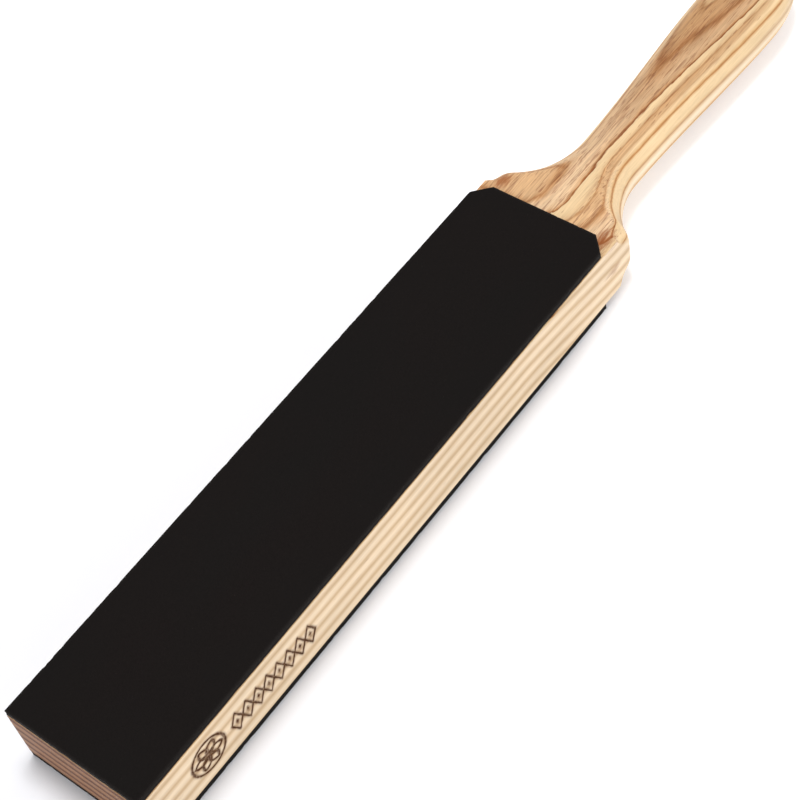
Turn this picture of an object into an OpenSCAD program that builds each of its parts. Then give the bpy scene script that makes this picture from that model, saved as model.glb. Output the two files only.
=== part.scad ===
// Two-sided leather strop: an ash paddle with a strip of leather glued to each face of its block.
// Millimetres. +X runs from the toe of the block to the tip of the handle, +Z is up, and the
// origin is under the middle of the strop, on the surface that the lower leather lies on.

/* [Paddle] */
// Length of the paddle, from the toe of the block to the tip of the handle
paddle_len = 363; // [340:1:400]
// Width of the block
block_w = 50; // [46:1:60]
// Length of the block up to where its shoulders start to curve in
block_len = 230; // [200:1:245]
// Thickness of the ash board that the paddle is cut from
board_t = 22.4; // [18:0.1:26]
// Easing of the block's long edges
eased_r = 0.4; // [0.2:0.1:1]

/* [Handle] */
// Width of the handle at its neck
neck_w = 22; // [18:0.5:26]
// Width of the handle at its widest
swell_w = 29; // [26:0.5:34]
// Thickness of the handle, which is sanded a little below the board's thickness
handle_t = 21.4; // [18:0.1:24]
// How far the handle lies to the left of the block's middle line
handle_shift = 0.8; // [0:0.1:2]
// Length of the rounded stretch behind the widest place, in plan
butt_len = 27; // [24:1:40]
// Length over which the tip is rounded from face to face
nose_len = 17; // [12:1:22]
// Radius of the outward curve of each shoulder, in plan
shoulder_r = 3; // [2:0.5:14]
// Radius of the inward curve from the shoulder to the neck, in plan
throat_r = 31; // [22:1:34]
// Radius of the rounding along the handle's edges
grip_r = 10.5; // [6:0.5:10.5]

/* [Leather] */
// Thickness of each strip of leather
leather_t = 2.2; // [1.5:0.1:3.5]
// Length of each strip of leather
leather_len = 222; // [190:1:224]
// Length of the cut across each corner of the leather, along both sides, at the handle's end
corner_cut = 5.5; // [3:0.5:8]

/* [Glue] */
// Thickness of each film of contact glue
glue_t = 0.2; // [0.1:0.05:0.4]
// How far the glue stops short of the edge of the leather
glue_inset = 0.5; // [0.2:0.1:1.5]

/* [Burned mark] */
// Depth of the burned lines in the side of the block
mark_depth = 0.3; // [0.2:0.1:0.6]
// Width of the burned lines
line_w = 0.6; // [0.4:0.1:1]
// Radius of the ring round the rosette
rosette_r = 7; // [5:0.1:8]
// Distance of the rosette's centre from the toe
rosette_at = 25; // [12:1:40]
// Number of diamonds in the chain beside the rosette
diamond_count = 8; // [3:1:9]
// Width of one diamond, from point to point along the block
diamond_w = 4.6; // [3.5:0.1:6]
// Height of one diamond, from point to point
diamond_h = 9; // [6:0.5:12]

/* [Hidden] */

ASH = [0.90, 0.77, 0.58];
BLACK_LEATHER = [0.10, 0.09, 0.085];
GLUE = [0.70, 0.55, 0.30];

// Heights of the layers
glue_low_z = leather_t;
board_z = glue_low_z + glue_t;
glue_top_z = board_z + board_t;
leather_top_z = glue_top_z + glue_t;
board_mid_z = board_z + board_t / 2;

// Places along the paddle, measured from the toe. Two tangent arcs make each shoulder.
drop = (block_w - neck_w) / 2;
turn = acos(1 - drop / (shoulder_r + throat_r));
arcs_meet_at = block_len + shoulder_r * sin(turn);
neck_at = arcs_meet_at + throat_r * sin(turn);
swell_at = paddle_len - butt_len;
nose_at = paddle_len - nose_len;
run_in_at = leather_len + 3;
run_in_len = 19;

// Rise of a quarter ellipse, from 0 to 1 as u goes from 0 to 1
function rise(u) = sqrt(1 - pow(1 - min(max(u, 0), 1), 2));
// Fall of a quarter ellipse, from 1 to 0 as u goes from 0 to 1
function fall(u) = sqrt(1 - pow(min(max(u, 0), 1), 2));

// Smooth step, from 0 to 1 as u goes from 0 to 1
function ease(u) = let (v = min(max(u, 0), 1)) v * v * (3 - 2 * v);

// How much of the section is handle at a distance x from the toe, from 0 at the leather's end to 1 at the neck
function handle_part(x) = ease((x - leather_len) / (neck_at - leather_len));

// Half the paddle's width
function half_width(x) =
    x <= block_len ? block_w / 2 :
    x <= arcs_meet_at ? block_w / 2 - shoulder_r + sqrt(pow(shoulder_r, 2) - pow(x - block_len, 2)) :
    x <= neck_at ? neck_w / 2 + throat_r - sqrt(pow(throat_r, 2) - pow(neck_at - x, 2)) :
    x <= swell_at ? (neck_w + (swell_w - neck_w) * ease((x - neck_at) / (swell_at - neck_at))) / 2 :
    swell_w / 2 * fall((x - swell_at) / butt_len);

// Half its depth
function half_depth(x) =
    (board_t + (handle_t - board_t) * handle_part(x)) / 2 * fall((x - nose_at) / nose_len);

// The rounding along its edges, which starts just beyond the leather
function edge_r(x) =
    min(eased_r + (grip_r - eased_r) * rise((x - run_in_at) / run_in_len),
        0.98 * half_width(x), 0.98 * half_depth(x));

// Stations of the sections: close together where the outline turns quickly
run_in_steps = 44;
swell_steps = 14;
nose_steps = 18;
stations = concat(
    [0],
    [leather_len],
    [for (i = [0 : run_in_steps]) run_in_at + (neck_at - run_in_at) * (1 - cos(90 * i / run_in_steps))],
    [for (i = [1 : swell_steps]) neck_at + (swell_at - neck_at) * i / swell_steps],
    [for (i = [1 : nose_steps - 1]) swell_at + butt_len * sin(90 * i / nose_steps)]);

// One section: a rectangle with round corners, anticlockwise seen from the handle's end
corner_steps = 8;
section_points = 4 * (corner_steps + 1);
function section(x) =
    let (r = edge_r(x), w = half_width(x) - r, h = half_depth(x) - r, aside = handle_shift * handle_part(x))
    [for (c = [0 : 3], s = [0 : corner_steps])
        let (a = 90 * (c + s / corner_steps))
        [x, aside + (c == 0 || c == 3 ? w : -w) + r * cos(a), (c < 2 ? h : -h) + r * sin(a)]];

// Skin of the paddle: rings of the sections, a flat toe and a single point at the tip
module paddle_blank() {
    rings = len(stations);
    points = concat([for (x = stations) each section(x)], [[paddle_len, handle_shift, 0]]);
    toe = [for (j = [0 : section_points - 1]) j];
    walls = [for (i = [0 : rings - 2], j = [0 : section_points - 1])
        let (k = (j + 1) % section_points, a = i * section_points, b = a + section_points)
        [a + j, b + j, b + k, a + k]];
    tip = [for (j = [0 : section_points - 1])
        let (a = (rings - 1) * section_points)
        [a + j, rings * section_points, a + (j + 1) % section_points]];
    polyhedron(points, concat([toe], walls, tip), convexity = 6);
}

// Petal: the overlap of two circles, with its points at the centre and at distance 2 * half_len
module petal(half_len) {
    r = half_len * 2 / sqrt(3);
    translate([half_len, 0])
        intersection_for (s = [-1, 1])
            translate([0, s * r / 2]) circle(r = r, $fn = 96);
}

// Six petals, drawn as lines, that meet on a disc inside a ring
module rosette() {
    petal_half = (rosette_r - 2 * line_w) / 2;
    circle(r = 1.3 * line_w, $fn = 24);
    difference() {
        circle(r = rosette_r, $fn = 96);
        circle(r = rosette_r - line_w, $fn = 96);
    }
    for (a = [0 : 60 : 300])
        rotate(a)
            difference() {
                petal(petal_half);
                translate([1.5 * line_w, 0]) petal(petal_half - 1.5 * line_w);
            }
}

// Diamond, point to point w along x and h along y
module diamond(w, h) {
    polygon([[-w / 2, 0], [0, -h / 2], [w / 2, 0], [0, h / 2]]);
}

// Chain of diamonds drawn as lines, each with a small solid one in its middle
module diamond_chain() {
    narrower = line_w * norm([diamond_w, diamond_h]) / diamond_h * 2;
    for (i = [0 : diamond_count - 1])
        translate([(i + 0.5) * diamond_w, 0]) {
            difference() {
                diamond(diamond_w + line_w / 2, diamond_h);
                diamond(diamond_w + line_w / 2 - narrower, diamond_h * (1 - narrower / diamond_w));
            }
            diamond(diamond_w / 4, diamond_h / 4);
        }
}

// The whole pattern, in the plane of the side, with x from the toe and y up from the board's middle
module mark() {
    chain_at = rosette_at + rosette_r + 3;
    translate([rosette_at, 0]) rosette();
    translate([chain_at, 0]) diamond_chain();
}

// Paddle with the pattern burned into its right-hand side
module paddle() {
    color(ASH)
    difference() {
        translate([-paddle_len / 2, 0, board_mid_z]) paddle_blank();
        translate([-paddle_len / 2, -block_w / 2 + mark_depth, board_mid_z])
            rotate([90, 0, 0]) linear_extrude(1) mark();
    }
}

// Outline shared by the leather and the glue: a strip whose two corners at the handle are cut off
module strip(inset) {
    x0 = -paddle_len / 2 + inset;
    x1 = -paddle_len / 2 + leather_len - inset;
    y = block_w / 2 - inset;
    cut = corner_cut - inset * (2 - sqrt(2));
    polygon([[x0, -y], [x1 - cut, -y], [x1, -y + cut], [x1, y - cut], [x1 - cut, y], [x0, y]]);
}

// A strip of leather
module leather(z) {
    color(BLACK_LEATHER) translate([0, 0, z]) linear_extrude(leather_t) strip(0);
}

// A film of glue
module glue(z) {
    color(GLUE) translate([0, 0, z]) linear_extrude(glue_t) strip(glue_inset);
}

paddle();
leather(leather_top_z);  // leather_top
leather(0);  // leather_bottom
glue(glue_top_z);  // glue_top
glue(glue_low_z);  // glue_bottom
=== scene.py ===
import math

import bpy
import numpy as np
from mathutils import Matrix, Vector


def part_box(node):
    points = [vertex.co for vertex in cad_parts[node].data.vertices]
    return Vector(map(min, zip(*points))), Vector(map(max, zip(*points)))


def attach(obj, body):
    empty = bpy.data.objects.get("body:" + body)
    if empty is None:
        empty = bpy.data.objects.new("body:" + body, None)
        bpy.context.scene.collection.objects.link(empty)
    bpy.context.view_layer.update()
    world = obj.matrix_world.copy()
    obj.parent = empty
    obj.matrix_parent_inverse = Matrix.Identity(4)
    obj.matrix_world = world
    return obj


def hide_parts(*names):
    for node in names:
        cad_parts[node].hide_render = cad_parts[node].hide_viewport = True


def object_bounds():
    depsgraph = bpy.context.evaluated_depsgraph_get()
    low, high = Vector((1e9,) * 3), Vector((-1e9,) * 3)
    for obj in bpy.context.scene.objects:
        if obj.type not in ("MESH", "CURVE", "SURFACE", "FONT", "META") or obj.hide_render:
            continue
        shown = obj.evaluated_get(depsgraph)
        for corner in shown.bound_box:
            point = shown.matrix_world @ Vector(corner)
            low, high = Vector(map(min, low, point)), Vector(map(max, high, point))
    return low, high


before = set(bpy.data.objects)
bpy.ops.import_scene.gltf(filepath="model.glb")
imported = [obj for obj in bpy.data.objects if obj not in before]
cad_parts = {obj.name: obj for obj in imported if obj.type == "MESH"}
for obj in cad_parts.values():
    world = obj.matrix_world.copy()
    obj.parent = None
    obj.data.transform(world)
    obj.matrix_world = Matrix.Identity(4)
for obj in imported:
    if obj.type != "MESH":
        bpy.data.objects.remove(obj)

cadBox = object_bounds()
mm = 0.001
degree = math.pi / 180
maths = "ShaderNodeMath"
vectorMaths = "ShaderNodeVectorMath"
print("frame loaded:", len(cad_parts), "nodes")


# Helpers that every piece and material uses

def linear(hexColour):
    channels = [int(hexColour[i:i + 2], 16) / 255 for i in (1, 3, 5)]
    return [c / 12.92 if c <= 0.04045 else ((c + 0.055) / 1.055) ** 2.4 for c in channels] + [1.0]


def addNode(tree, kind, inputs=(), stops=(), **settings):
    # inputs is a list in socket order, or a dictionary by socket name or number, and a node given as an
    # input stands for its first output in use; stops are a colour ramp's places and colours
    node = tree.nodes.new(kind)
    for name, value in settings.items():
        setattr(node, name, value)
    for number, (place, colour) in enumerate(stops):
        ends = node.color_ramp.elements
        stop = ends[0] if number == 0 else ends[-1] if number == len(stops) - 1 else ends.new(place)
        stop.position, stop.color = place, linear(colour)
    for key, value in inputs.items() if isinstance(inputs, dict) else enumerate(inputs):
        if isinstance(value, bpy.types.Node):
            value = next(output for output in value.outputs if output.enabled)
        if isinstance(value, bpy.types.NodeSocket):
            tree.links.new(value, node.inputs[key])
        else:
            node.inputs[key].default_value = value
    return node


def newMaterial(name):
    # an empty material, its tree, and the Object coordinates in it
    material = bpy.data.materials.new(name)
    material.use_nodes = True
    tree = material.node_tree
    tree.nodes.clear()
    return material, tree, addNode(tree, "ShaderNodeTexCoord").outputs["Object"]


def newShapeTree(name, sizes):
    # an empty Geometry Nodes tree with one named input for each size
    kinds = {float: "NodeSocketFloat", int: "NodeSocketInt", bpy.types.Material: "NodeSocketMaterial"}
    tree = bpy.data.node_groups.new(name, "GeometryNodeTree")
    tree.interface.new_socket("Geometry", in_out="INPUT", socket_type="NodeSocketGeometry")
    for label, value in sizes.items():
        tree.interface.new_socket(label, in_out="INPUT", socket_type=kinds[type(value)])
    tree.interface.new_socket("Geometry", in_out="OUTPUT", socket_type="NodeSocketGeometry")
    return tree


def addShape(piece, tree, sizes):
    modifier = piece.modifiers.new(tree.name, "NODES")
    modifier.node_group = tree
    for item in tree.interface.items_tree:
        if item.in_out == "INPUT" and item.name in sizes:
            modifier[item.identifier] = sizes[item.name]


def newPiece(name, verts=(), faces=()):
    mesh = bpy.data.meshes.new(name)
    mesh.from_pydata(verts, [], faces)
    piece = bpy.data.objects.new(name, mesh)
    bpy.context.scene.collection.objects.link(piece)
    return piece


def plainMesh(piece):
    # what the modifiers make becomes the piece's own mesh, and the modifiers come off
    graph = bpy.context.evaluated_depsgraph_get()
    mesh = bpy.data.meshes.new_from_object(
        piece.evaluated_get(graph), preserve_all_data_layers=True, depsgraph=graph)
    piece.modifiers.clear()
    piece.data = mesh
    mesh.name = piece.name
    return piece


def finishPiece(piece, node):
    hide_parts(node)
    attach(piece, "root")
    print(piece.name, "made:", len(piece.data.polygons), "faces")


# Ash: a flat-sawn board, sanded and given one thin coat of oil. Its rings lie almost level in the block
# and dip where the handle begins: soft stripes on the sides, brown open-pored figure with ragged dark
# boundaries on the faces.

ash = {
    "ringSpacing": 5.1,          # mm, as are all the lengths here
    "ringBase": 36.3,            # ring height at which a ring begins
    "slope": 0.008,              # fall of the rings per mm along the board
    "dip": (-10.0, 50.0),        # where along the board the rings dip
    "dipDepth": 11.9,
    "dipTilt": 0.25,             # extra dip for each mm to the left
    "dipTiltTo": 9.6,            # how far left that goes on
    "tailFrom": 60.0,            # where the rings start to curve down to the tip
    "tailCurve": 0.00017,        # per mm, times the square of the way from there
    "broadWave": (90.0, 30.0),   # length along the grain and width across it
    "broadRise": 1.4,
    "fineWave": (26.0, 4.5),
    "fineRise": 0.9,
    "raggedWave": (5.0, 0.7),
    "raggedRise": 0.55,
    "fibreSize": (13.0, 0.50),   # fibres and pores are two or three times as coarse as real ones, to show
    "fibreSwing": (0.06, 0.15),  # how much fibres change the tone, in late wood and in early wood
    "patchSize": (50.0, 12.0),
    "patchTones": (0.93, 1.06),
    "poreSize": (7.5, 0.60),
    "porous": (0.95, 0.60, 0.10, 1.0),     # two places in a ring, and how open the pores are at each
    "poreLevel": (0.72, 0.57),   # noise level above which a pore opens, in late wood and in early wood
    "poreRim": 0.05,
    "poreDepth": 0.50,           # how much of a pore's colour is its own
    "lineSize": (70.0, 4.2),
    "lineWidth": (0.022, 0.006), # as noise, from the line's edge to its middle
    "breakSize": (26.0, 6.0),    # stretches over which a dark line comes and goes
    "breaks": (0.42, 0.60),      # noise levels between which it fades in
    # how far the surface has to face that way for each cut of the rings to begin, and to be full
    "onFlank": (0.05, 0.30),
    "onFace": (0.62, 0.93),
    "onEnd": (0.60, 0.95),
    "sideStops": [(0.0, "#C2A480"), (0.10, "#C7A986"), (0.24, "#D6BC9A"), (0.42, "#E2CCAE"),
                  (0.62, "#E3CDB0"), (0.80, "#DAC19F"), (0.92, "#CBAF8B"), (1.0, "#C2A480")],
    "flankStops": [(0.0, "#9A683A"), (0.05, "#AC7D4D"), (0.12, "#C9A576"), (0.26, "#D4B88F"),
                   (0.86, "#D4B890"), (0.95, "#C09868"), (1.0, "#9A683A")],
    "faceStops": [(0.0, "#7A4318"), (0.02, "#8C582B"), (0.055, "#B98F66"), (0.09, "#C7A47E"),
                  (0.20, "#CCAD8A"), (0.33, "#C6A37E"), (0.385, "#B1865C"), (0.425, "#96663C"),
                  (0.465, "#B2875D"), (0.53, "#C09A71"), (0.67, "#C29A6F"), (0.71, "#A0744A"),
                  (0.75, "#C2A077"), (0.88, "#CBAF87"), (0.98, "#CDB188"), (1.0, "#7A4318")],
    "endStops": [(0.0, "#4E2208"), (0.14, "#613213"), (0.30, "#835636"), (0.55, "#9E7352"), (0.85, "#996B48"),
                 (1.0, "#4E2208")],
    "handled": (55.0, 100.0),    # where the darkening of the grip from use begins and is full
    "handTint": "#E4DACE",
    "poreColour": "#652806",
    "stainColour": "#864512",
    "stainStreak": (5.0, 0.7),
    "stainRagged": 2.4,
    "stainEdge": (2.25, 1.45),   # in half sizes, plus what the ragged streaks add
    "burnColour": "#552D0A",
    "burnPatch": (1.6, 0.8),
    "burnTones": (0.55, 1.15),
    "burnFade": 1.8,             # power that draws the scorch in towards its groove
    "poreRelief": -0.8,
    "reliefDepth": 0.10,
    "roughness": (0.50, 0.62),
    # place and half size of each mineral stain, and how dark it is
    "stains": [((41.0, -21.8, 24.6), (6.5, 3.8, 3.5), 0.85), ((45.5, 20.0, 24.6), (4.5, 2.8, 3.0), 0.80),
               ((40.0, -25.0, 13.5), (4.0, 2.0, 1.9), 0.48)],
}


def stretchedNoise(tree, coords, along, across, detail=2.0, roughness=0.5):
    # noise whose grains are along mm long in X and across mm wide
    place = addNode(tree, vectorMaths, [coords, (1 / along, 1 / across, 1 / across)], operation="MULTIPLY")
    return addNode(tree, "ShaderNodeTexNoise",
                   {"Vector": place, "Scale": 1.0, "Detail": detail, "Roughness": roughness})


def ringPhase(tree, coords):
    # 0 to 1 through each ring, from the ring height: the height this wood would have if the rings lay level
    x, y, z = addNode(tree, "ShaderNodeSeparateXYZ", [coords]).outputs
    height = addNode(tree, maths, [x, ash["slope"], z], operation="MULTIPLY_ADD")
    tail = addNode(tree, maths, [x, ash["tailFrom"]], operation="SUBTRACT")
    tail = addNode(tree, maths, [tail, 0.0], operation="MAXIMUM")
    tail = addNode(tree, maths, [tail, tail], operation="MULTIPLY")
    height = addNode(tree, maths, [tail, ash["tailCurve"], height], operation="MULTIPLY_ADD")
    leftward = addNode(tree, maths, [y, ash["dipTiltTo"], 3.0], operation="SMOOTH_MIN")
    dip = addNode(tree, maths, [leftward, ash["dipTilt"], ash["dipDepth"]], operation="MULTIPLY_ADD")
    dipShare = addNode(tree, "ShaderNodeMapRange", [x, *ash["dip"]], interpolation_type="SMOOTHSTEP")
    height = addNode(tree, maths, [dip, dipShare, height], operation="MULTIPLY_ADD")
    for wave in ("broad", "fine", "ragged"):
        noise = stretchedNoise(tree, coords, *ash[wave + "Wave"])
        centred = addNode(tree, maths, [noise, 0.5], operation="SUBTRACT")
        height = addNode(tree, maths, [centred, ash[wave + "Rise"], height], operation="MULTIPLY_ADD")
    height = addNode(tree, maths, [height, ash["ringBase"]], operation="SUBTRACT")
    rings = addNode(tree, maths, [height, ash["ringSpacing"]], operation="DIVIDE")
    return addNode(tree, maths, [rings], operation="FRACT")


def cutShares(tree):
    # the rounded flanks of the handle, the faces and the toe each cut the rings their own way
    normal = addNode(tree, "ShaderNodeNewGeometry").outputs["Normal"]
    facing = addNode(tree, vectorMaths, [normal], operation="ABSOLUTE")
    facingX, _, facingZ = addNode(tree, "ShaderNodeSeparateXYZ", [facing]).outputs
    return [addNode(tree, "ShaderNodeMapRange", [way, *ash[label]], interpolation_type="SMOOTHSTEP")
            for way, label in ((facingZ, "onFlank"), (facingZ, "onFace"), (facingX, "onEnd"))]


def ringColour(tree, phase, onFlank, onFace, onEnd):
    colour = addNode(tree, "ShaderNodeValToRGB", [phase], stops=ash["sideStops"])
    for cut, share in (("flank", onFlank), ("face", onFace), ("end", onEnd)):
        ramp = addNode(tree, "ShaderNodeValToRGB", [phase], stops=ash[cut + "Stops"])
        colour = addNode(tree, "ShaderNodeMix", {0: share, 6: colour, 7: ramp}, data_type="RGBA")
    return colour


def addFibres(tree, coords, fibres, colour, porous, onEnd):
    # fibres make early wood and end grain the most uneven, and broad patches change the tone slowly
    crossGrain = addNode(tree, maths, [porous, onEnd], operation="MAXIMUM")
    fibreSwing = addNode(tree, "ShaderNodeMapRange", [crossGrain, 0.0, 1.0, *ash["fibreSwing"]])
    fibreTone = addNode(tree, "ShaderNodeMapRange", [fibres, 0.38, 0.62, -1.0, 1.0])
    fibreTone = addNode(tree, maths, [fibreTone, fibreSwing, 1.0], operation="MULTIPLY_ADD")
    patches = stretchedNoise(tree, coords, *ash["patchSize"])
    patchTone = addNode(tree, "ShaderNodeMapRange", [patches, 0.3, 0.7, *ash["patchTones"]])
    tone = addNode(tree, maths, [fibreTone, patchTone], operation="MULTIPLY")
    return addNode(tree, vectorMaths, {0: colour, "Scale": tone}, operation="SCALE")


def addHandling(tree, coords, colour, porous):
    # hands have darkened the open wood of the grip
    x = addNode(tree, "ShaderNodeSeparateXYZ", [coords])
    handled = addNode(tree, "ShaderNodeMapRange", [x, *ash["handled"]])
    handled = addNode(tree, maths, [handled, porous], operation="MULTIPLY")
    tinted = addNode(tree, vectorMaths, [colour, linear(ash["handTint"])[:3]], operation="MULTIPLY")
    return addNode(tree, "ShaderNodeMix", {0: handled, 6: colour, 7: tinted}, data_type="RGBA")


def openGrain(tree, coords, porous):
    # 1 in an open pore, and in the long dark lines where pores join up
    pores = stretchedNoise(tree, coords, *ash["poreSize"], roughness=0.6)
    least = addNode(tree, "ShaderNodeMapRange", [porous, 0.0, 1.0, *ash["poreLevel"]])
    most = addNode(tree, maths, [least, ash["poreRim"]], operation="ADD")
    openPores = addNode(tree, "ShaderNodeMapRange", [pores, least, most])
    lines = stretchedNoise(tree, coords, *ash["lineSize"], detail=3.0, roughness=0.6)
    lines = addNode(tree, maths, [lines, 0.5], operation="SUBTRACT")
    lines = addNode(tree, maths, [lines], operation="ABSOLUTE")
    lines = addNode(tree, "ShaderNodeMapRange", [lines, *ash["lineWidth"]])
    broken = stretchedNoise(tree, coords, *ash["breakSize"])
    broken = addNode(tree, "ShaderNodeMapRange", [broken, *ash["breaks"]])
    lines = addNode(tree, maths, [lines, broken], operation="MULTIPLY")
    lines = addNode(tree, maths, [lines, porous], operation="MULTIPLY")
    return addNode(tree, maths, [openPores, lines], operation="MAXIMUM")


def addStains(tree, coords, colour):
    # mineral stains with ragged edges
    streaks = stretchedNoise(tree, coords, *ash["stainStreak"], detail=3.0, roughness=0.65)
    for place, half, strength in ash["stains"]:
        offset = addNode(tree, vectorMaths, [coords, place], operation="SUBTRACT")
        offset = addNode(tree, vectorMaths, [offset, tuple(1 / h for h in half)], operation="MULTIPLY")
        reach = addNode(tree, vectorMaths, [offset], operation="LENGTH")
        ragged = addNode(tree, maths, [streaks, ash["stainRagged"], reach], operation="MULTIPLY_ADD")
        stain = addNode(tree, "ShaderNodeMapRange", [ragged, *ash["stainEdge"], 0.0, strength])
        colour = addNode(tree, "ShaderNodeMix",
                         {0: stain, 6: colour, 7: linear(ash["stainColour"])}, data_type="RGBA")
    return colour


def addScorch(tree, coords, colour):
    # scorched lines, darkest in the groove and fading to the wood beside it
    scorch = addNode(tree, "ShaderNodeAttribute", attribute_name="scorch").outputs["Fac"]
    uneven = stretchedNoise(tree, coords, *ash["burnPatch"])
    uneven = addNode(tree, "ShaderNodeMapRange", [uneven, 0.3, 0.7, *ash["burnTones"]])
    burn = addNode(tree, maths, [scorch, ash["burnFade"]], operation="POWER")
    burn = addNode(tree, maths, [burn, uneven], operation="MULTIPLY", use_clamp=True)
    return addNode(tree, "ShaderNodeMix",
                   {0: burn, 6: colour, 7: linear(ash["burnColour"])}, data_type="RGBA")


def makeAsh():
    material, tree, spot = newMaterial("oiledAsh")
    coords = addNode(tree, vectorMaths, {0: spot, "Scale": 1 / mm}, operation="SCALE")
    phase = ringPhase(tree, coords)
    onFlank, onFace, onEnd = cutShares(tree)
    colour = ringColour(tree, phase, onFlank, onFace, onEnd)

    # the early wood of a face is where its pores and dark lines are
    porous = addNode(tree, "ShaderNodeMapRange", [phase, *ash["porous"]], interpolation_type="SMOOTHSTEP")
    porous = addNode(tree, maths, [porous, onFace], operation="MULTIPLY")
    fibres = stretchedNoise(tree, coords, *ash["fibreSize"], detail=3.0, roughness=0.7)
    colour = addFibres(tree, coords, fibres, colour, porous, onEnd)
    colour = addHandling(tree, coords, colour, porous)
    dark = openGrain(tree, coords, porous)
    darkMix = addNode(tree, maths, [dark, ash["poreDepth"]], operation="MULTIPLY")
    colour = addNode(tree, "ShaderNodeMix",
                     {0: darkMix, 6: colour, 7: linear(ash["poreColour"])}, data_type="RGBA")
    colour = addStains(tree, coords, colour)
    colour = addScorch(tree, coords, colour)

    relief = addNode(tree, maths, [dark, ash["poreRelief"], fibres], operation="MULTIPLY_ADD")
    bump = addNode(tree, "ShaderNodeBump",
                   {"Height": relief, "Strength": 0.3, "Distance": ash["reliefDepth"] * mm})
    rough = addNode(tree, "ShaderNodeMapRange", [fibres, 0.3, 0.7, *ash["roughness"]])
    shader = addNode(tree, "ShaderNodeBsdfPrincipled", {
        "Base Color": colour, "Roughness": rough, "IOR": 1.5, "Specular IOR Level": 0.25, "Normal": bump})
    addNode(tree, "ShaderNodeOutputMaterial", [shader])
    return material


# Strop leather: vegetable-tanned cowhide dyed black through, finished to a fine short nap that
# scatters light, with a few pale specks of lint and compound, and edges left as cut. Within a mm of
# the cut the rims are a little lighter: partly the raw cut edge, partly a painted highlight along it.

leather = {
    "dark": "#0D0A09",
    "light": "#110D0C",
    "speck": "#3C3733",
    # edge: the lighter colour of the rims, partly raw cut edge and partly a painted highlight
    "edge": "#24211F",
    "patchSize": (55.0, 30.0),    # mm, as are all the lengths here
    "napSize": (0.45, 0.45),      # a real nap is about 0.1 mm, too fine to show
    "napTones": (0.80, 1.20),
    "pebbleSize": 1.3,
    "speckSize": (0.8, 0.8),
    "speckLevel": (0.74, 0.80),   # noise level above which a speck shows
    "speckMost": 0.8,
    "reliefDepth": 0.10,
    "roughness": (0.62, 0.74),
}


def makeLeather():
    material, tree, spot = newMaterial("blackStropLeather")
    coords = addNode(tree, vectorMaths, {0: spot, "Scale": 1 / mm}, operation="SCALE")
    patches = stretchedNoise(tree, coords, *leather["patchSize"])
    tone = addNode(tree, "ShaderNodeMapRange", [patches, 0.35, 0.65])
    colour = addNode(tree, "ShaderNodeMix",
                     {0: tone, 6: linear(leather["dark"]), 7: linear(leather["light"])}, data_type="RGBA")
    nap = stretchedNoise(tree, coords, *leather["napSize"], detail=3.0, roughness=0.7)
    napTone = addNode(tree, "ShaderNodeMapRange", [nap, 0.3, 0.7, *leather["napTones"]])
    colour = addNode(tree, vectorMaths, {0: colour, "Scale": napTone}, operation="SCALE")
    specks = stretchedNoise(tree, coords, *leather["speckSize"], roughness=0.8)
    specks = addNode(tree, "ShaderNodeMapRange", [specks, *leather["speckLevel"], 0.0, leather["speckMost"]])
    colour = addNode(tree, "ShaderNodeMix",
                     {0: specks, 6: colour, 7: linear(leather["speck"])}, data_type="RGBA")
    # the rims are lightened: partly the raw cut edge, partly a painted highlight along it
    rim = addNode(tree, "ShaderNodeAttribute", attribute_name="rim").outputs["Fac"]
    rimEdgeAndHighlightMix = addNode(tree, maths, [rim, nap], operation="MULTIPLY", use_clamp=True)
    colour = addNode(tree, "ShaderNodeMix",
                     {0: rimEdgeAndHighlightMix, 6: colour, 7: linear(leather["edge"])}, data_type="RGBA")
    pebble = addNode(tree, "ShaderNodeTexVoronoi", {"Vector": coords, "Scale": 1 / leather["pebbleSize"]},
                     feature="SMOOTH_F1")
    relief = addNode(tree, maths, [pebble, 0.6, nap], operation="MULTIPLY_ADD")
    bump = addNode(tree, "ShaderNodeBump",
                   {"Height": relief, "Strength": 0.4, "Distance": leather["reliefDepth"] * mm})
    rough = addNode(tree, "ShaderNodeMapRange", [patches, 0.35, 0.65, *leather["roughness"]])
    shader = addNode(tree, "ShaderNodeBsdfPrincipled", {
        "Base Color": colour, "Roughness": rough, "IOR": 1.48, "Specular IOR Level": 0.06, "Normal": bump})
    addNode(tree, "ShaderNodeOutputMaterial", [shader])
    return material


# Contact cement, dried: amber and rubbery, and slightly see-through where it is thin.

glue = {
    "thin": "#C9A25C",
    "thick": "#9A6E32",
    "swirlSize": (9.0, 2.5),    # mm
    "reliefDepth": 0.10,
}


def makeGlue():
    material, tree, spot = newMaterial("driedContactCement")
    coords = addNode(tree, vectorMaths, {0: spot, "Scale": 1 / mm}, operation="SCALE")
    swirls = stretchedNoise(tree, coords, *glue["swirlSize"], detail=3.0)
    tone = addNode(tree, "ShaderNodeMapRange", [swirls, 0.35, 0.65])
    colour = addNode(tree, "ShaderNodeMix",
                     {0: tone, 6: linear(glue["thin"]), 7: linear(glue["thick"])}, data_type="RGBA")
    bump = addNode(tree, "ShaderNodeBump",
                   {"Height": swirls, "Strength": 0.4, "Distance": glue["reliefDepth"] * mm})
    shader = addNode(tree, "ShaderNodeBsdfPrincipled", {
        "Base Color": colour, "Roughness": 0.42, "IOR": 1.52, "Subsurface Weight": 0.1, "Normal": bump})
    addNode(tree, "ShaderNodeOutputMaterial", [shader])
    return material


oiledAsh = makeAsh()
blackLeather = makeLeather()
driedGlue = makeGlue()
print("materials made")


# Paddle: block and handle in one piece of ash. A skin of rings is laid out first, each point knowing
# how far along it is and which part of the section it belongs to; the tree then gives it its place.

paddleLow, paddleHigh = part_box("paddle")
toe = paddleLow.x

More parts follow.
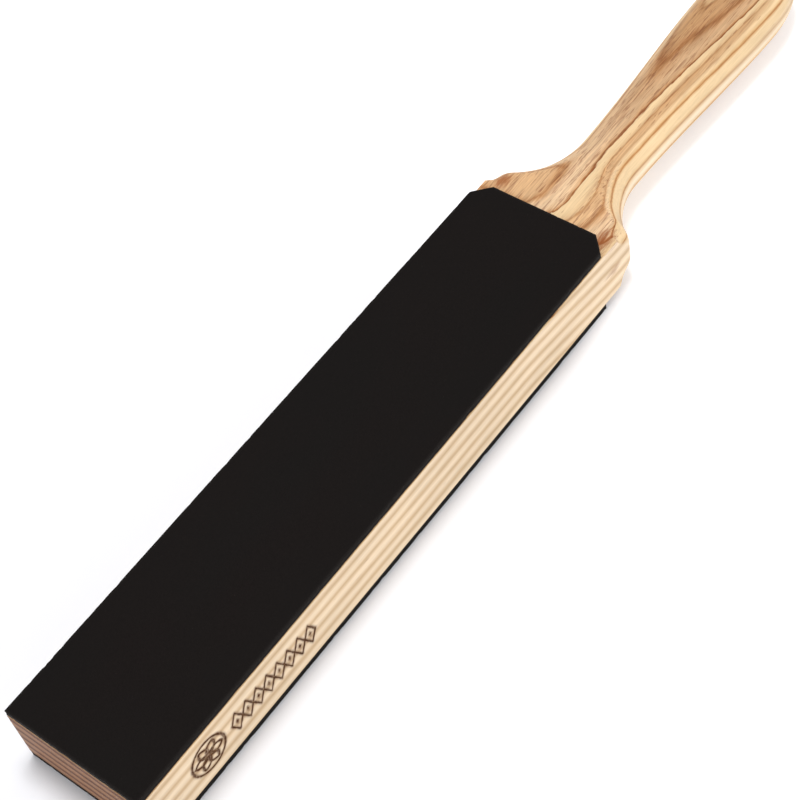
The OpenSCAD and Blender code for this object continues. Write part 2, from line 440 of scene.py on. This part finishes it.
paddle = {
    "Length": paddleHigh.x - paddleLow.x,
    "Block width": paddleHigh.y - paddleLow.y,
    "Board thickness": paddleHigh.z - paddleLow.z,
    "Middle height": (paddleHigh.z + paddleLow.z) / 2,
    "Toe": toe,
    "Block length": 230 * mm,
    "Neck width": 22 * mm,
    "Swell width": 29 * mm,
    "Handle thickness": 21.4 * mm,
    "Handle start": 222 * mm,
    "Handle shift": 0.8 * mm,
    "Butt length": 27 * mm,
    "Nose length": 17 * mm,
    "Shoulder radius": 3 * mm,
    "Throat radius": 31 * mm,
    "Grip radius": 10.5 * mm,
    "Eased radius": 0.4 * mm,
    "Run-in start": 225 * mm,
    "Run-in length": 19 * mm,
    "Hand finish": 0.22 * mm,
}

skin = {
    "cornerSteps": 10,
    "faceSteps": 12,
    "ornamentSteps": 60,
    "plainSteps": 6,
    "easeSteps": 5,
    "nearCorner": 0.03,      # share of a flat that its outermost points keep from the corner
    "firstRing": 1.0,        # mm from the toe, as are the next four
    "ornamentFrom": 15.0,
    "ornamentTo": 76.0,
    "blockTo": 222.0,
    "neckAt": 258.0,
    "ornamentCell": 0.35,    # mm between rings, as are the next four
    "toeCell": 5.0,
    "blockCell": 10.0,
    "shoulderCell": 0.8,
    "handleCell": 2.4,
    "tipSteps": 26,
}


def paddleStations():
    # distances from the toe in mm, close together where the section or the ornament needs it
    ease, swellAt = paddle["Eased radius"] / mm, (paddle["Length"] - paddle["Butt length"]) / mm
    length, butt = paddle["Length"] / mm, paddle["Butt length"] / mm
    quarter = math.pi / 2
    toeEdge = [ease * (1 - math.cos(quarter * i / skin["easeSteps"])) for i in range(skin["easeSteps"] + 1)]
    spans = [(skin["firstRing"], skin["ornamentFrom"], skin["toeCell"]),
             (skin["ornamentFrom"], skin["ornamentTo"], skin["ornamentCell"]),
             (skin["ornamentTo"], skin["blockTo"], skin["blockCell"]),
             (skin["blockTo"], skin["neckAt"], skin["shoulderCell"]),
             (skin["neckAt"], swellAt, skin["handleCell"])]
    middle = [a for start, end, cell in spans
              for a in np.linspace(start, end, round((end - start) / cell), endpoint=False)]
    tip = [swellAt + butt * math.sin(quarter * i / skin["tipSteps"]) for i in range(skin["tipSteps"])]
    return toeEdge + middle + tip + [length]


def sectionPoints():
    # (side, outward) for each point round the section, anticlockwise seen from the handle: side is the
    # share of the flat's half width and half height, outward the direction of the skin there
    corners = [(1, 1), (-1, 1), (-1, -1), (1, -1)]
    flatSteps = [skin["faceSteps"], skin["ornamentSteps"], skin["faceSteps"], skin["plainSteps"]]
    nearCorner = skin["nearCorner"]
    points = []
    for c, (sideY, sideZ) in enumerate(corners):
        for step in range(skin["cornerSteps"] + 1):
            turn = math.pi / 2 * (c + step / skin["cornerSteps"])
            points.append(((0, sideY, sideZ), (0, math.cos(turn), math.sin(turn))))
        nextY, nextZ = corners[(c + 1) % 4]
        outward = points[-1][1]
        for share in np.linspace(nearCorner, 1 - nearCorner, flatSteps[c]):
            points.append(((0, sideY + (nextY - sideY) * share, sideZ + (nextZ - sideZ) * share), outward))
    return points


def layOutSkin(name):
    stations, section = paddleStations(), sectionPoints()
    around, rings = len(section), len(stations) - 1
    along = np.repeat(stations, around)[:rings * around + 1] * mm
    side = np.array([p[0] for p in section] * rings + [(0, 0, 0)], float)
    outward = np.array([p[1] for p in section] * rings + [(1, 0, 0)], float)
    faces = [tuple(range(around))[::-1]]
    for i in range(rings - 1):
        a, b = i * around, (i + 1) * around
        faces += [(a + j, a + (j + 1) % around, b + (j + 1) % around, b + j) for j in range(around)]
    last = (rings - 1) * around
    faces += [(last + j, last + (j + 1) % around, rings * around) for j in range(around)]
    verts = np.column_stack([along, side[:, 1:] * 10 * mm])    # any size, for the tree places every point
    piece = newPiece(name, verts.tolist(), faces)
    for label, kind, values in (("along", "FLOAT", along), ("side", "FLOAT_VECTOR", side),
                                ("outward", "FLOAT_VECTOR", outward)):
        attribute = piece.data.attributes.new(label, kind, "POINT")
        field = "value" if kind == "FLOAT" else "vector"
        attribute.data.foreach_set(field, values.astype(np.float32).ravel())
    return piece


def arcDrop(tree, radius, run):
    # how far an arc of that radius falls away from its tangent over that run
    square = addNode(tree, maths, [radius, radius], operation="MULTIPLY")
    runSquare = addNode(tree, maths, [run, run], operation="MULTIPLY")
    rest = addNode(tree, maths, [square, runSquare], operation="SUBTRACT")
    root = addNode(tree, maths, [rest], operation="SQRT")
    return addNode(tree, maths, [radius, root], operation="SUBTRACT")


def ellipseFall(tree, value, start, length):
    # 1 up to start, then down a quarter ellipse to 0 at start + length
    share = addNode(tree, maths, [value, start], operation="SUBTRACT")
    share = addNode(tree, maths, [share, length], operation="DIVIDE", use_clamp=True)
    square = addNode(tree, maths, [share, share], operation="MULTIPLY")
    rest = addNode(tree, maths, [1.0, square], operation="SUBTRACT", use_clamp=True)
    return addNode(tree, maths, [rest], operation="SQRT")


def shoulderSpans(tree, given):
    # how long the two tangent arcs of the shoulder are, along the paddle
    drop = addNode(tree, maths, [given["Block width"], given["Neck width"]], operation="SUBTRACT")
    radii = addNode(tree, maths, [given["Shoulder radius"], given["Throat radius"]], operation="ADD")
    halfDrop = addNode(tree, maths, [drop, 0.5], operation="MULTIPLY")
    share = addNode(tree, maths, [halfDrop, radii], operation="DIVIDE")
    turnCos = addNode(tree, maths, [1.0, share], operation="SUBTRACT")
    turn = addNode(tree, maths, [turnCos], operation="ARCCOSINE")
    turnSin = addNode(tree, maths, [turn], operation="SINE")
    outSpan = addNode(tree, maths, [given["Shoulder radius"], turnSin], operation="MULTIPLY")
    inSpan = addNode(tree, maths, [given["Throat radius"], turnSin], operation="MULTIPLY")
    return outSpan, inSpan


def halfWidths(tree, given, along, outSpan, inSpan, neckAt, swellAt):
    # block, shoulder, throat and swell
    outRun = addNode(tree, maths, [along, given["Block length"]], operation="SUBTRACT")
    outRun = addNode(tree, "ShaderNodeClamp", [outRun, 0.0, outSpan])
    inRun = addNode(tree, maths, [neckAt, along], operation="SUBTRACT")
    inRun = addNode(tree, "ShaderNodeClamp", [inRun, 0.0, inSpan])
    halfBlock = addNode(tree, maths, [given["Block width"], 0.5], operation="MULTIPLY")
    outDrop = arcDrop(tree, given["Shoulder radius"], outRun)
    half = addNode(tree, maths, [halfBlock, outDrop], operation="SUBTRACT")
    half = addNode(tree, maths, [half, arcDrop(tree, given["Throat radius"], inSpan)], operation="SUBTRACT")
    half = addNode(tree, maths, [half, arcDrop(tree, given["Throat radius"], inRun)], operation="ADD")
    swell = addNode(tree, maths, [given["Swell width"], given["Neck width"]], operation="SUBTRACT")
    halfSwell = addNode(tree, maths, [swell, 0.5], operation="MULTIPLY")
    swelling = addNode(tree, "ShaderNodeMapRange", [along, neckAt, swellAt, 0.0, halfSwell],
                       interpolation_type="SMOOTHSTEP")
    return addNode(tree, maths, [half, swelling], operation="ADD")


def halfDepths(tree, given, along, handlePart):
    # sanding has brought the depth down along the handle, and the nose rounds it off
    thinning = addNode(tree, maths, [given["Handle thickness"], given["Board thickness"]],
                       operation="SUBTRACT")
    board = addNode(tree, maths, [thinning, handlePart, given["Board thickness"]], operation="MULTIPLY_ADD")
    halfBoard = addNode(tree, maths, [board, 0.5], operation="MULTIPLY")
    noseAt = addNode(tree, maths, [given["Length"], given["Nose length"]], operation="SUBTRACT")
    noseFall = ellipseFall(tree, along, noseAt, given["Nose length"])
    return addNode(tree, maths, [halfBoard, noseFall], operation="MULTIPLY")


def edgeRadii(tree, given, half, depth, rise):
    # rounding of the long edges, never quite as much as the section has room for
    widening = addNode(tree, maths, [given["Grip radius"], given["Eased radius"]], operation="SUBTRACT")
    edge = addNode(tree, maths, [widening, rise, given["Eased radius"]], operation="MULTIPLY_ADD")
    for room in (half, depth):
        most = addNode(tree, maths, [room, 0.98], operation="MULTIPLY")
        edge = addNode(tree, maths, [edge, most], operation="MINIMUM")
    return edge


def sectionPlaces(tree, given, along, half, depth, edge):
    # places across the paddle; the toe's own edges are eased too
    side = addNode(tree, "GeometryNodeInputNamedAttribute", {"Name": "side"}, data_type="FLOAT_VECTOR")
    outward = addNode(tree, "GeometryNodeInputNamedAttribute", {"Name": "outward"}, data_type="FLOAT_VECTOR")
    toGo = addNode(tree, maths, [given["Eased radius"], along], operation="SUBTRACT")
    toeFall = ellipseFall(tree, toGo, 0.0, given["Eased radius"])
    toeShare = addNode(tree, maths, [1.0, toeFall], operation="SUBTRACT")
    toeInset = addNode(tree, maths, [toeShare, given["Eased radius"]], operation="MULTIPLY")
    room = addNode(tree, "ShaderNodeCombineXYZ", [0.0, half, depth])
    inset = addNode(tree, maths, [edge, toeInset], operation="ADD")
    flats = addNode(tree, vectorMaths, [room, inset], operation="SUBTRACT")
    place = addNode(tree, vectorMaths, [side, flats], operation="MULTIPLY")
    place = addNode(tree, vectorMaths, [outward, edge, place], operation="MULTIPLY_ADD")
    return addNode(tree, vectorMaths, [place, (0.0, 1.0, 1.0)], operation="MULTIPLY")


def handFinish(tree, given, shaped, rise, buttFall):
    # hand sanding leaves the handle a little uneven
    where = addNode(tree, "GeometryNodeInputPosition")
    noise = addNode(tree, "ShaderNodeTexNoise", {"Vector": where, "Scale": 38.0, "Detail": 1.0})    # per m
    centred = addNode(tree, maths, [noise, 0.5], operation="SUBTRACT")
    amount = addNode(tree, maths, [centred, given["Hand finish"]], operation="MULTIPLY")
    amount = addNode(tree, maths, [amount, rise], operation="MULTIPLY")
    amount = addNode(tree, maths, [amount, buttFall], operation="MULTIPLY")
    normal = addNode(tree, "GeometryNodeInputNormal")
    offset = addNode(tree, vectorMaths, {0: normal, "Scale": amount}, operation="SCALE")
    return addNode(tree, "GeometryNodeSetPosition", {"Geometry": shaped, "Offset": offset})


def makePaddleTree():
    tree = newShapeTree("paddleShape", paddle)
    given = addNode(tree, "NodeGroupInput").outputs
    along = addNode(tree, "GeometryNodeInputNamedAttribute", {"Name": "along"}, data_type="FLOAT")
    outSpan, inSpan = shoulderSpans(tree, given)
    meetAt = addNode(tree, maths, [given["Block length"], outSpan], operation="ADD")
    neckAt = addNode(tree, maths, [meetAt, inSpan], operation="ADD")
    swellAt = addNode(tree, maths, [given["Length"], given["Butt length"]], operation="SUBTRACT")
    half = halfWidths(tree, given, along, outSpan, inSpan, neckAt, swellAt)
    buttFall = ellipseFall(tree, along, swellAt, given["Butt length"])
    half = addNode(tree, maths, [half, buttFall], operation="MULTIPLY")
    handlePart = addNode(tree, "ShaderNodeMapRange", [along, given["Handle start"], neckAt],
                         interpolation_type="SMOOTHSTEP")
    depth = halfDepths(tree, given, along, handlePart)

    # the rounding runs in from the block's eased edges to the grip
    runInEnd = addNode(tree, maths, [given["Run-in start"], given["Run-in length"]], operation="ADD")
    leftOver = addNode(tree, maths, [runInEnd, along], operation="SUBTRACT")
    rise = ellipseFall(tree, leftOver, 0.0, given["Run-in length"])
    edge = edgeRadii(tree, given, half, depth, rise)
    flattened = sectionPlaces(tree, given, along, half, depth, edge)
    x = addNode(tree, maths, [along, given["Toe"]], operation="ADD")
    aside = addNode(tree, maths, [handlePart, given["Handle shift"]], operation="MULTIPLY")
    start = addNode(tree, "ShaderNodeCombineXYZ", [x, aside, given["Middle height"]])
    position = addNode(tree, vectorMaths, [start, flattened], operation="ADD")
    shaped = addNode(tree, "GeometryNodeSetPosition", {"Geometry": given["Geometry"], "Position": position})
    addNode(tree, "NodeGroupOutput", [handFinish(tree, given, shaped, rise, buttFall)])
    return tree


# Ornament burned into the right-hand side: a rosette in a ring, then a chain of diamonds

ornament = {
    "Line width": 0.66 * mm,
    "Line depth": 0.3 * mm,
    "Ring radius": 6.7 * mm,
    "Petal length": 5.5 * mm,
    "Rosette at": 25 * mm,
    "Chain at": 35 * mm,
    "Diamond count": 8,
    "Diamond width": 4.6 * mm,
    "Diamond height": 8.8 * mm,
    "Scorch reach": 0.9 * mm,
    "Toe": toe,
    "Side": paddleLow.y,
    "Middle height": paddle["Middle height"],
    "Wood": oiledAsh,
}


def makeRosette(tree, given):
    # six petals in a ring, each of two arcs of 120 degrees that meet in the middle
    ring = addNode(tree, "GeometryNodeCurvePrimitiveCircle",
                   {"Resolution": 120, "Radius": given["Ring radius"]})
    petalRadius = addNode(tree, maths, [given["Petal length"], math.sqrt(3)], operation="DIVIDE")
    halfPetal = addNode(tree, maths, [given["Petal length"], 0.5], operation="MULTIPLY")
    petal = addNode(tree, "GeometryNodeJoinGeometry")
    for sign, startAngle in ((-1, 30 * degree), (1, 210 * degree)):
        arc = addNode(tree, "GeometryNodeCurveArc", {
            "Resolution": 24, "Radius": petalRadius, "Start Angle": startAngle,
            "Sweep Angle": 120 * degree}, mode="RADIUS")
        lift = addNode(tree, maths, [petalRadius, 0.5 * sign], operation="MULTIPLY")
        shift = addNode(tree, "ShaderNodeCombineXYZ", [halfPetal, lift, 0.0])
        moved = addNode(tree, "GeometryNodeTransform", {"Geometry": arc, "Translation": shift})
        tree.links.new(moved.outputs[0], petal.inputs[0])
    spokes = addNode(tree, "GeometryNodePoints", {"Count": 6})
    index = addNode(tree, "GeometryNodeInputIndex")
    angle = addNode(tree, maths, [index, 60 * degree], operation="MULTIPLY")
    turned = addNode(tree, "ShaderNodeCombineXYZ", [0.0, 0.0, angle])
    petals = addNode(tree, "GeometryNodeInstanceOnPoints",
                     {"Points": spokes, "Instance": petal, "Rotation": turned})
    rosette = addNode(tree, "GeometryNodeJoinGeometry")
    tree.links.new(ring.outputs[0], rosette.inputs[0])
    tree.links.new(petals.outputs[0], rosette.inputs[0])
    shift = addNode(tree, "ShaderNodeCombineXYZ", [given["Rosette at"], 0.0, 0.0])
    return addNode(tree, "GeometryNodeTransform", {"Geometry": rosette, "Translation": shift})


def diamondRow(tree, given):
    # a point for the middle of each diamond, so that they stand point to point
    halfWidth = addNode(tree, maths, [given["Diamond width"], 0.5], operation="MULTIPLY")
    firstAt = addNode(tree, maths, [given["Chain at"], halfWidth], operation="ADD")
    return addNode(tree, "GeometryNodeMeshLine", {
        "Count": given["Diamond count"],
        "Start Location": addNode(tree, "ShaderNodeCombineXYZ", [firstAt, 0.0, 0.0]),
        "Offset": addNode(tree, "ShaderNodeCombineXYZ", [given["Diamond width"], 0.0, 0.0])})


def makePits(tree, given, row, size):
    # a small pit in the middle of each diamond
    pit = addNode(tree, "GeometryNodeMeshCone", {
        "Vertices": 4, "Radius Top": 0.15, "Radius Bottom": 0.02,
        "Depth": addNode(tree, maths, [given["Line depth"], 2.0], operation="MULTIPLY")}, fill_type="NGON")
    sink = addNode(tree, maths, [given["Line depth"], -1.0], operation="MULTIPLY")
    sunk = addNode(tree, "ShaderNodeCombineXYZ", [0.0, 0.0, sink])
    pit = addNode(tree, "GeometryNodeTransform", {"Geometry": pit, "Scale": size, "Translation": sunk})
    pits = addNode(tree, "GeometryNodeInstanceOnPoints", {"Points": row, "Instance": pit})
    return addNode(tree, "GeometryNodeRealizeInstances", [pits])


def makeCutters(tree, given):
    # what the hot tool takes out of the wood: round grooves along all the lines, and the pits
    row = diamondRow(tree, given)
    size = addNode(tree, "ShaderNodeCombineXYZ", [given["Diamond width"], given["Diamond height"], 1.0])
    outline = addNode(tree, "GeometryNodeCurvePrimitiveCircle", {"Resolution": 4, "Radius": 0.5})
    outline = addNode(tree, "GeometryNodeTransform", {"Geometry": outline, "Scale": size})
    diamonds = addNode(tree, "GeometryNodeInstanceOnPoints", {"Points": row, "Instance": outline})
    lines = addNode(tree, "GeometryNodeJoinGeometry")
    for part in (makeRosette(tree, given), diamonds):
        tree.links.new(part.outputs[0], lines.inputs[0])
    lines = addNode(tree, "GeometryNodeRealizeInstances", [lines])
    halfLine = addNode(tree, maths, [given["Line width"], 0.5], operation="MULTIPLY")
    tool = addNode(tree, "GeometryNodeCurvePrimitiveCircle", {"Resolution": 10, "Radius": halfLine})
    grooves = addNode(tree, "GeometryNodeCurveToMesh",
                      {"Curve": lines, "Profile Curve": tool, "Fill Caps": True})
    cutters = addNode(tree, "GeometryNodeJoinGeometry")
    for part in (grooves, makePits(tree, given, row, size)):
        tree.links.new(part.outputs[0], cutters.inputs[0])
    place = addNode(tree, "ShaderNodeCombineXYZ", [given["Toe"], given["Side"], given["Middle height"]])
    return addNode(tree, "GeometryNodeTransform", {
        "Geometry": cutters, "Translation": place, "Rotation": (90 * degree, 0.0, 0.0)})


def makeOrnamentTree():
    tree = newShapeTree("burnedOrnament", ornament)
    given = addNode(tree, "NodeGroupInput").outputs
    cutters = makeCutters(tree, given)
    carved = addNode(tree, "GeometryNodeMeshBoolean", {
        "Mesh 1": given["Geometry"], "Mesh 2": cutters, "Self Intersection": True},
        operation="DIFFERENCE", solver="EXACT")

    # how scorched the wood is: 1 in a line, down to 0 at the end of the reach
    near = addNode(tree, "GeometryNodeProximity", {"Geometry": cutters}, target_element="FACES")
    scorch = addNode(tree, "ShaderNodeMapRange",
                     [near.outputs["Distance"], 0.0, given["Scorch reach"], 1.0, 0.0])
    marked = addNode(tree, "GeometryNodeStoreNamedAttribute", {
        "Geometry": carved, "Name": "scorch", "Value": scorch}, data_type="FLOAT", domain="POINT")
    smooth = addNode(tree, "GeometryNodeSetShadeSmooth", {"Geometry": marked, "Shade Smooth": True})
    bend = addNode(tree, "GeometryNodeInputMeshEdgeAngle")
    crisp = addNode(tree, maths, [bend, 28 * degree], operation="GREATER_THAN")
    smooth = addNode(tree, "GeometryNodeSetShadeSmooth",
                     {"Geometry": smooth, "Selection": crisp, "Shade Smooth": False}, domain="EDGE")
    painted = addNode(tree, "GeometryNodeSetMaterial", {"Geometry": smooth, "Material": given["Wood"]})
    addNode(tree, "NodeGroupOutput", [painted])
    return tree


ashPaddle = layOutSkin("ashPaddle")
addShape(ashPaddle, makePaddleTree(), paddle)
addShape(ashPaddle, makeOrnamentTree(), ornament)
plainMesh(ashPaddle)
finishPiece(ashPaddle, "paddle")


# Strips: leather and glue share one outline, a rectangle with two corners cut off at the handle's end

topStrip = {
    "Corner cut": 5.5 * mm,
    "Wander": 0.25 * mm,      # how far a hand-cut edge strays
    "Nicks": 0.30 * mm,       # depth of the small tears along it
    "Seed": 3.0,
    "Rim": 0.9 * mm,
    "Finish": blackLeather,
}
bottomStrip = dict(topStrip, Seed=11.0)
topFilm = dict(topStrip, Seed=21.0, Wander=0.5 * mm, Nicks=0.0, Finish=driedGlue)
bottomFilm = dict(topFilm, Seed=31.0)
topFilm["Corner cut"] = bottomFilm["Corner cut"] = 5.2 * mm
leatherRounding, filmRounding = 0.35 * mm, 0.04 * mm
stripMesh = {"Rows": 223, "Columns": 101}     # points along and across, about 1 mm and 0.5 mm apart


def stripPlaces(tree, given):
    # where each point of the unit block goes, and how far in from the cut edge it is then
    unit = addNode(tree, "GeometryNodeInputPosition")
    u, v, w = addNode(tree, "ShaderNodeSeparateXYZ", [unit]).outputs
    halfWidth = addNode(tree, maths, [given["Width"], 0.5], operation="MULTIPLY")
    across = addNode(tree, maths, [v, given["Width"]], operation="MULTIPLY")
    fromMiddle = addNode(tree, maths, [across], operation="ABSOLUTE")
    cutFrom = addNode(tree, maths, [halfWidth, given["Corner cut"]], operation="SUBTRACT")
    cut = addNode(tree, maths, [fromMiddle, cutFrom], operation="SUBTRACT")
    cut = addNode(tree, maths, [cut, 0.0], operation="MAXIMUM")
    length = addNode(tree, maths, [given["Length"], cut], operation="SUBTRACT")
    share = addNode(tree, maths, [u, 0.5], operation="ADD")
    along = addNode(tree, maths, [share, length], operation="MULTIPLY")
    up = addNode(tree, maths, [w, 0.5], operation="ADD")
    up = addNode(tree, maths, [up, given["Thickness"]], operation="MULTIPLY")
    flat = addNode(tree, "ShaderNodeCombineXYZ", [along, across, up])
    halfLow = addNode(tree, maths, [given["Low Y"], halfWidth], operation="ADD")
    start = addNode(tree, "ShaderNodeCombineXYZ", [given["Low X"], halfLow, given["Low Z"]])
    position = addNode(tree, vectorMaths, [flat, start], operation="ADD")
    toSide = addNode(tree, maths, [halfWidth, fromMiddle], operation="SUBTRACT")
    toFar = addNode(tree, maths, [length, along], operation="SUBTRACT")
    inside = addNode(tree, maths, [toSide, toFar], operation="MINIMUM")
    return position, addNode(tree, maths, [inside, along], operation="MINIMUM")


def handCut(tree, given, laid):
    # the cut edge wanders inwards, with a few small nicks; noise scales are per metre
    where = addNode(tree, "GeometryNodeInputPosition")
    seeded = addNode(tree, "ShaderNodeCombineXYZ", [given["Seed"], given["Seed"], given["Seed"]])
    where = addNode(tree, vectorMaths, [where, seeded], operation="ADD")
    slow = addNode(tree, "ShaderNodeTexNoise", {"Vector": where, "Scale": 45.0, "Detail": 1.0})
    quick = addNode(tree, "ShaderNodeTexNoise", {"Vector": where, "Scale": 420.0, "Detail": 1.0})
    nick = addNode(tree, "ShaderNodeMapRange", [quick, 0.56, 0.74])
    stray = addNode(tree, maths, [slow, given["Wander"]], operation="MULTIPLY")
    stray = addNode(tree, maths, [nick, given["Nicks"], stray], operation="MULTIPLY_ADD")
    edgeOnly = addNode(tree, "GeometryNodeInputNamedAttribute", {"Name": "rim"}, data_type="FLOAT")
    stray = addNode(tree, maths, [stray, edgeOnly], operation="MULTIPLY")
    normal = addNode(tree, "GeometryNodeInputNormal")
    sideways = addNode(tree, vectorMaths, [normal, (-1.0, -1.0, 0.0)], operation="MULTIPLY")
    offset = addNode(tree, vectorMaths, {0: sideways, "Scale": stray}, operation="SCALE")
    return addNode(tree, "GeometryNodeSetPosition", {"Geometry": laid, "Offset": offset})


def makeStripTree():
    sizes = dict(topStrip)
    for label in ("Low X", "Low Y", "Low Z", "Length", "Width", "Thickness"):
        sizes[label] = 0.0
    sizes.update(stripMesh)
    tree = newShapeTree("cutStrip", sizes)
    given = addNode(tree, "NodeGroupInput").outputs
    block = addNode(tree, "GeometryNodeMeshCube", {
        "Size": (1.0, 1.0, 1.0), "Vertices X": given["Rows"], "Vertices Y": given["Columns"],
        "Vertices Z": 4})
    position, inside = stripPlaces(tree, given)
    rim = addNode(tree, "ShaderNodeMapRange", [inside, 0.0, given["Rim"], 1.0, 0.0])
    block = addNode(tree, "GeometryNodeStoreNamedAttribute", {
        "Geometry": block, "Name": "rim", "Value": rim}, data_type="FLOAT", domain="POINT")
    laid = addNode(tree, "GeometryNodeSetPosition", {"Geometry": block, "Position": position})
    strayed = handCut(tree, given, laid)
    smooth = addNode(tree, "GeometryNodeSetShadeSmooth", {"Geometry": strayed, "Shade Smooth": True})
    painted = addNode(tree, "GeometryNodeSetMaterial", {"Geometry": smooth, "Material": given["Finish"]})
    addNode(tree, "NodeGroupOutput", [painted])
    return tree


def makeStrip(name, node, sizes, tree, rounding):
    low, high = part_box(node)
    piece = newPiece(name)
    place = {"Low X": low.x, "Low Y": low.y, "Low Z": low.z, "Length": high.x - low.x,
             "Width": high.y - low.y, "Thickness": high.z - low.z, **stripMesh}
    addShape(piece, tree, dict(sizes, **place))
    bevel = piece.modifiers.new("cutEdges", "BEVEL")
    bevel.width = rounding
    bevel.segments = 3
    bevel.limit_method = "ANGLE"
    bevel.angle_limit = math.radians(50)
    plainMesh(piece)
    finishPiece(piece, node)


stripTree = makeStripTree()
makeStrip("topLeather", "leather_top", topStrip, stripTree, leatherRounding)
makeStrip("bottomLeather", "leather_bottom", bottomStrip, stripTree, leatherRounding)
makeStrip("topGlue", "glue_top", topFilm, stripTree, filmRounding)
makeStrip("bottomGlue", "glue_bottom", bottomFilm, stripTree, filmRounding)


# Floor, light and camera

floor = {
    "paper": "#DEDFE3",
    # painted light: a patch of the paper round the handle glows of itself and lifts the shadow there
    "glow": 0.40,                # light from under the paper, which takes the shadow off the raised handle
    "glowAt": (150 * mm, 0.0, 0.0),
    "glowSpan": (85 * mm, 150 * mm),
    "reach": 3.0,                # m each way
}


def makeFloor():
    reach = floor["reach"]
    corners = [(-reach, -reach, 0), (reach, -reach, 0), (reach, reach, 0), (-reach, reach, 0)]
    sheet = newPiece("floor", corners, [(0, 1, 2, 3)])
    material, tree, spot = newMaterial("mattWhitePaper")
    # the paper glows round the handle: painted light that takes the handle's shadow off the floor
    fromGlow = addNode(tree, vectorMaths, [spot, floor["glowAt"]], operation="DISTANCE")
    glow = addNode(tree, "ShaderNodeMapRange", [fromGlow, *floor["glowSpan"], floor["glow"], 0.0],
                   interpolation_type="SMOOTHSTEP")
    shader = addNode(tree, "ShaderNodeBsdfPrincipled", {
        "Base Color": linear(floor["paper"]), "Roughness": 0.9, "Specular IOR Level": 0.1,
        "Emission Color": linear("#FFFFFF"), "Emission Strength": glow})
    addNode(tree, "ShaderNodeOutputMaterial", [shader])
    sheet.data.materials.append(material)


studio = {
    # brightness of the room overhead, and near the horizon to the left and to the right
    "roomAbove": 0.60, "roomLeft": 0.74, "roomRight": 1.32,
    # width in m, power in W and place in m of each softbox
    "key": (0.45, 15.0, (0.05, 0.10, 1.40)),
    "fill": (2.0, 16.0, (-0.2, -2.6, 1.1)),
}


def addSoftbox(name, size, power, place, target):
    lamp = bpy.data.lights.new(name, "AREA")
    lamp.shape = "SQUARE"
    lamp.size = size
    lamp.energy = power
    box = bpy.data.objects.new(name, lamp)
    bpy.context.scene.collection.objects.link(box)
    box.location = Vector(place)
    box.rotation_euler = (Vector(target) - Vector(place)).to_track_quat("-Z", "Y").to_euler()


def makeLight():
    world = bpy.data.worlds.new("whiteRoom")
    world.use_nodes = True
    bpy.context.scene.world = world
    tree = world.node_tree
    tree.nodes.clear()
    direction = addNode(tree, "ShaderNodeTexCoord").outputs["Generated"]
    _, left, up = addNode(tree, "ShaderNodeSeparateXYZ", [direction]).outputs
    around = addNode(tree, "ShaderNodeMapRange", [left, -0.7, 0.7, studio["roomRight"], studio["roomLeft"]])
    strength = addNode(tree, "ShaderNodeMapRange", [up, 0.15, 0.75, around, studio["roomAbove"]])
    room = addNode(tree, "ShaderNodeBackground", {"Color": linear("#FFFFFF"), "Strength": strength})
    addNode(tree, "ShaderNodeOutputWorld", [room])
    middle = (cadBox[0] + cadBox[1]) / 2
    for name in ("key", "fill"):
        addSoftbox(name, *studio[name], middle)
    bpy.context.scene.view_settings.view_transform = "Standard"


view = {
    "aim": (-39.8, -4.0, 24.8),      # mm
    "distance": 595.8,
    "azimuth": -130.89,              # degrees, from +X
    "elevation": 53.28,
    "roll": 14.41,
    "lens": 90.83,
}


def makeCamera():
    camera = bpy.data.objects.new("camera", bpy.data.cameras.new("camera"))
    bpy.context.scene.collection.objects.link(camera)
    azimuth, elevation = math.radians(view["azimuth"]), math.radians(view["elevation"])
    aim = Vector(view["aim"]) * mm
    back = Vector((math.cos(elevation) * math.cos(azimuth), math.cos(elevation) * math.sin(azimuth),
                   math.sin(elevation)))
    turn = (-back).to_track_quat("-Z", "Y").to_matrix().to_4x4()
    roll = Matrix.Rotation(-math.radians(view["roll"]), 4, "Z")
    camera.matrix_world = Matrix.Translation(aim + back * view["distance"] * mm) @ turn @ roll
    camera.data.lens = view["lens"]
    camera.data.sensor_width = 36.0
    camera.data.clip_start = 0.01
    bpy.context.scene.camera = camera


makeFloor()
makeLight()
makeCamera()
print("floor, lights and camera placed")
